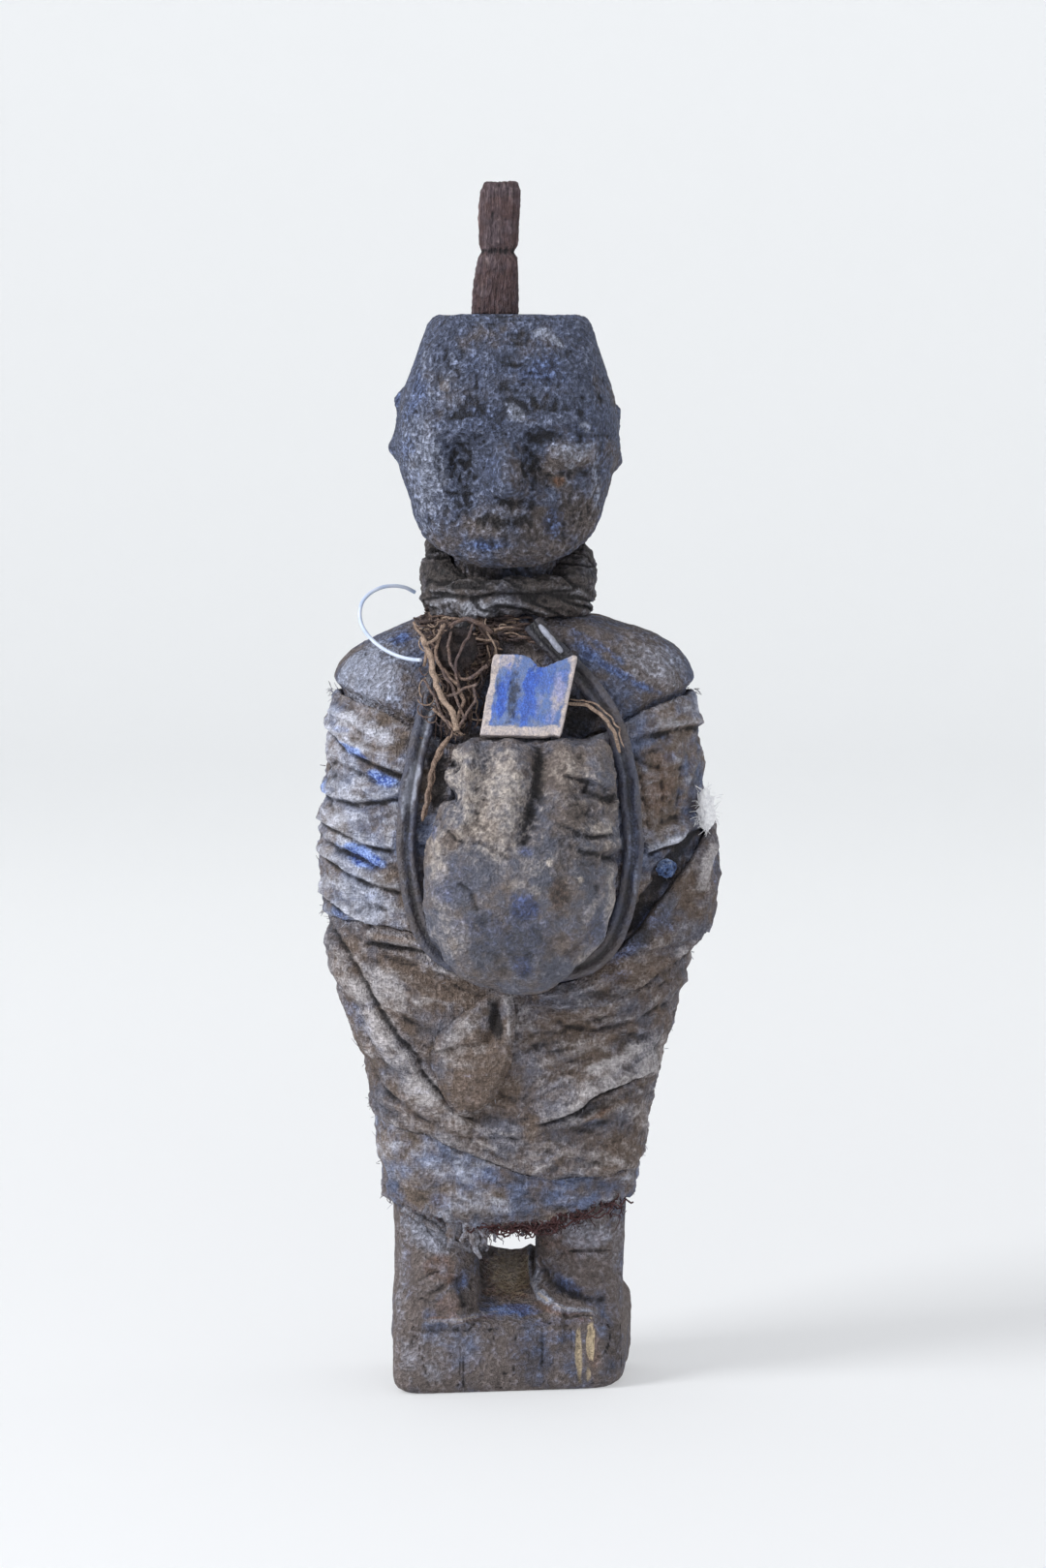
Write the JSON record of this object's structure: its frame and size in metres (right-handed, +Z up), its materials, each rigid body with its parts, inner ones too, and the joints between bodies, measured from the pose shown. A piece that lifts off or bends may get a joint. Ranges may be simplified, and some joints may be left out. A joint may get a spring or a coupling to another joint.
{
  "type": "carved wooden fetish figure",
  "caption": "Standing carved wooden figure bound in old cloth, with a hide collar, a strapped chest pouch, a glazed shard, fibre knot and head peg, on a block base.",
  "frame": {"origin": "on the underside of the base block, below the middle of the figure", "axes": "+Z up along the figure, the face and pouch look along -Y, +X is the viewer's right seen from the front"},
  "size_m": [0.1257, 0.0913, 0.3789],
  "materials": {
    "wood": "worn, crusted and pigment-stained",
    "peg_wood": "dark, dry and fibrous",
    "hide": "dark, greasy hide",
    "cloth": "dusty coarse cloth with blue stains",
    "dark_cloth": "dirty, stiffened cloth",
    "pouch_hide": "crusted hide, blue-stained below",
    "glaze": "chipped blue paint on a pale ceramic body",
    "fibre": "dry root and plant fibre",
    "nylon": "pale translucent line",
    "paint": "blue-painted lump",
    "cotton": "raw cotton"
  },
  "bodies": {
    "root": {"figure": "wood", "head_peg": "peg_wood", "neck_band": "hide", "chest_wrap": "cloth", "hip_wrap": "dark_cloth", "skirt_wrap": "cloth", "elbow_sling": "dark_cloth", "cloth_tail": "cloth", "medicine_pouch": "pouch_hide", "chest_strap": "hide", "blue_shard": "glaze", "fibre_knot": "fibre", "root_strand": "fibre", "tendon": "fibre", "twig": "fibre", "line_loop": "nylon", "blue_pebble": "paint", "cotton_tuft": "cotton"}
  },
  "joints": []
}
